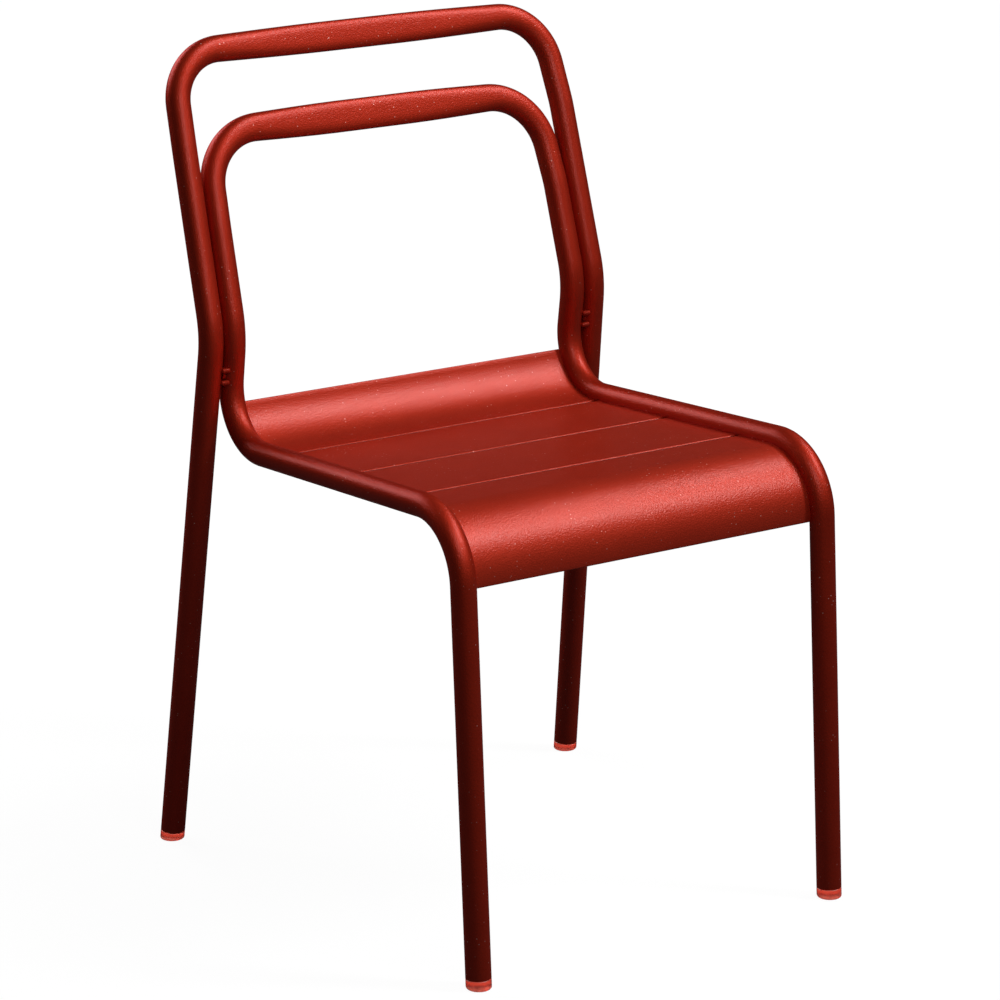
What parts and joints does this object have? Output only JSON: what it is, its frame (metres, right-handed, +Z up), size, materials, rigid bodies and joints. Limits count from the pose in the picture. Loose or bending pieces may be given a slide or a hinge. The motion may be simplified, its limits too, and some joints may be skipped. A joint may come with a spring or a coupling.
{
  "type": "chair",
  "caption": "Armless stacking chair of bent, powder-coated aluminium tube with a nested hoop back, pressed oval back rails, a waterfall slatted seat and plastic foot glides.",
  "frame": {"origin": "on the floor, under the middle of the bounding box", "axes": "+Z up, -Y toward the front of the seat, +X toward the chair's left-hand side seen from the sitter, symmetric about X = 0"},
  "size_m": [0.5216, 0.5512, 0.8295],
  "materials": {
    "powder_coat": "satin",
    "weld_coat": "satin",
    "glide_plastic": "gloss"
  },
  "bodies": {
    "root": {"outer_frame": "powder_coat", "inner_frame": "powder_coat", "slat_rear": "powder_coat", "slat_middle_rear": "powder_coat", "slat_middle_front": "powder_coat", "slat_front": "powder_coat", "spacer_left": "powder_coat", "spacer_right": "powder_coat", "glide_front_left": "glide_plastic", "glide_front_right": "glide_plastic", "glide_rear_left": "glide_plastic", "glide_rear_right": "glide_plastic", "slat_welds_left": "weld_coat", "slat_welds_right": "weld_coat", "upright_welds_left": "weld_coat", "upright_welds_right": "weld_coat", "spacer_welds_left": "weld_coat", "spacer_welds_right": "weld_coat"}
  },
  "joints": []
}
